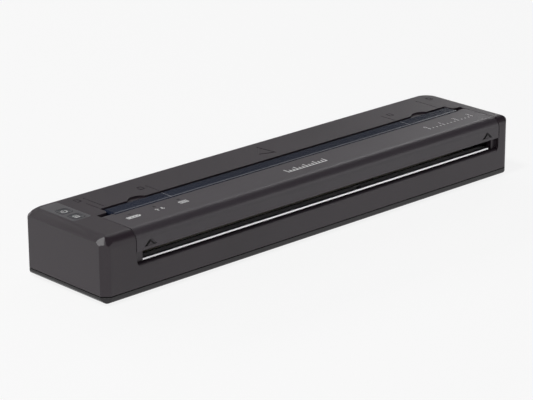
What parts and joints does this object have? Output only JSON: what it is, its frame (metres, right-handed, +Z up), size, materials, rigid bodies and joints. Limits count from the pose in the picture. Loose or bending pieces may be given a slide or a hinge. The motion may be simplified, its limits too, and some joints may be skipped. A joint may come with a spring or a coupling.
{
  "type": "portable thermal printer",
  "caption": "Slim battery-powered thermal printer for A4 sheets, with a front paper slot and a hinged release cover that carries the platen and a folding exit guide.",
  "frame": {"origin": "on the table under the middle of the closed printer", "axes": "+X along the printer to the right as seen from the paper slot, the slot faces -Y, +Z up"},
  "size_m": [0.255, 0.055, 0.0302],
  "materials": {
    "dark_abs": "fine moulded texture",
    "base_abs": "fine moulded texture",
    "glossy_navy": "polished, semi-clear",
    "panel_plastic": "semi-gloss",
    "key_rubber": "smooth",
    "inner_black": "moulded",
    "bright_steel": "ground edge",
    "sheet_steel": "zinc plated",
    "pin_steel": "turned",
    "screw_steel": "black oxide",
    "platen_rubber": "ground",
    "gear_plastic": "natural acetal",
    "bush_plastic": "sintered",
    "ceramic": "glazed",
    "aluminium": "extruded",
    "driver_black": "moulded",
    "spring_steel": "drawn wire",
    "motor_steel": "plated can",
    "board_green": "solder mask",
    "chip_black": "moulded",
    "shield_can": "tinned",
    "connector_steel": "nickel plated",
    "jack_black": "moulded",
    "brass": "nickel free",
    "cell_wrap": "shrink sleeve",
    "foot_rubber": "moulded",
    "lens_clear": "frosted",
    "flat_cable": "flexible"
  },
  "bodies": {
    "casing": {"base_cover": "base_abs", "rubber_feet": "foot_rubber", "upper_casing": "dark_abs", "cover_hinge_pins": "pin_steel", "chassis": "sheet_steel", "head_pivot_pins": "pin_steel", "head_springs": "spring_steel", "gear_plate": "sheet_steel", "drive_motor": "motor_steel", "motor_screws": "screw_steel", "gear_stud": "pin_steel", "paper_guide": "inner_black", "tear_bar": "bright_steel", "paper_sensor": "chip_black", "cover_switch": "jack_black", "battery_pack": "cell_wrap", "battery_contacts": "brass", "main_board": "board_green", "board_chips": "chip_black", "radio_module": "shield_can", "usb_socket": "connector_steel", "power_jack": "jack_black", "key_board": "board_green", "key_switches": "chip_black", "panel_ribbon": "flat_cable", "panel_bezel": "panel_plastic", "casing_screws": "screw_steel", "chassis_screws": "screw_steel", "board_screws": "screw_steel"},
    "release_cover": {"release_cover": "dark_abs", "cover_liner": "inner_black", "platen_bracket": "sheet_steel", "platen_bushes": "bush_plastic", "light_board": "board_green", "light_pipes": "lens_clear", "cover_screws": "screw_steel"},
    "exit_guide": {"exit_guide": "glossy_navy", "exit_guide_pins": "pin_steel"},
    "platen": {"platen_shaft": "pin_steel", "platen_rubber": "platen_rubber", "platen_gear": "gear_plastic"},
    "reduction": {"reduction_gear": "gear_plastic"},
    "motor_rotor": {"motor_shaft": "pin_steel", "motor_pinion": "brass"},
    "print_head": {"head_heat_sink": "aluminium", "head_ceramic": "ceramic", "driver_cover": "driver_black", "head_connector": "jack_black"},
    "power_key": {"power_key": "key_rubber"},
    "feed_key": {"feed_key": "key_rubber"},
    "battery_door": {"battery_door": "base_abs"}
  },
  "joints": [
    {"name": "release_cover_hinge", "type": "hinge", "parent": "casing", "child": "release_cover", "pos_m": [0.0056, -0.0053, 0.0264], "axis": [-1, 0, 0], "range_deg": [0, 60]},
    {"name": "exit_guide_hinge", "type": "hinge", "parent": "release_cover", "child": "exit_guide", "pos_m": [0.0064, -0.0039, 0.0284], "axis": [1, 0, 0], "range_deg": [0, 95]},
    {"name": "platen_spin", "type": "hinge", "parent": "release_cover", "child": "platen", "pos_m": [0.0064, -0.0092, 0.0172], "axis": [1, 0, 0], "continuous": true},
    {"name": "reduction_spin", "type": "hinge", "parent": "casing", "child": "reduction", "pos_m": [-0.1097, -0.00172, 0.0177], "axis": [1, 0, 0], "continuous": true},
    {"name": "motor_spin", "type": "hinge", "parent": "casing", "child": "motor_rotor", "pos_m": [-0.1132, -0.00932, 0.0139], "axis": [1, 0, 0], "continuous": true},
    {"name": "head_lift", "type": "hinge", "parent": "casing", "child": "print_head", "pos_m": [0.0064, -0.01036, 0.00741], "axis": [-1, 0, 0], "range_deg": [0, 2], "stiffness_Nm_per_rad": 4, "springref_deg": -3.44, "deforming": ["head_springs"]},
    {"name": "power_key_press", "type": "slide", "parent": "casing", "child": "power_key", "axis": [0, 0, -1], "range_m": [0, 0.0004], "stiffness_N_per_m": 1500, "springref_m": -0.0004},
    {"name": "feed_key_press", "type": "slide", "parent": "casing", "child": "feed_key", "axis": [0, 0, -1], "range_m": [0, 0.0004], "stiffness_N_per_m": 1500, "springref_m": -0.0004},
    {"name": "battery_door_hinge", "type": "hinge", "parent": "casing", "child": "battery_door", "pos_m": [0.0137, 0.02405, 0.00155], "axis": [1, 0, 0], "range_deg": [0, 100]}
  ],
  "couplings": [
    {"joint": "reduction_spin", "follows": "platen_spin", "ratio": -1.5},
    {"joint": "motor_spin", "follows": "platen_spin", "ratio": 3.6}
  ]
}
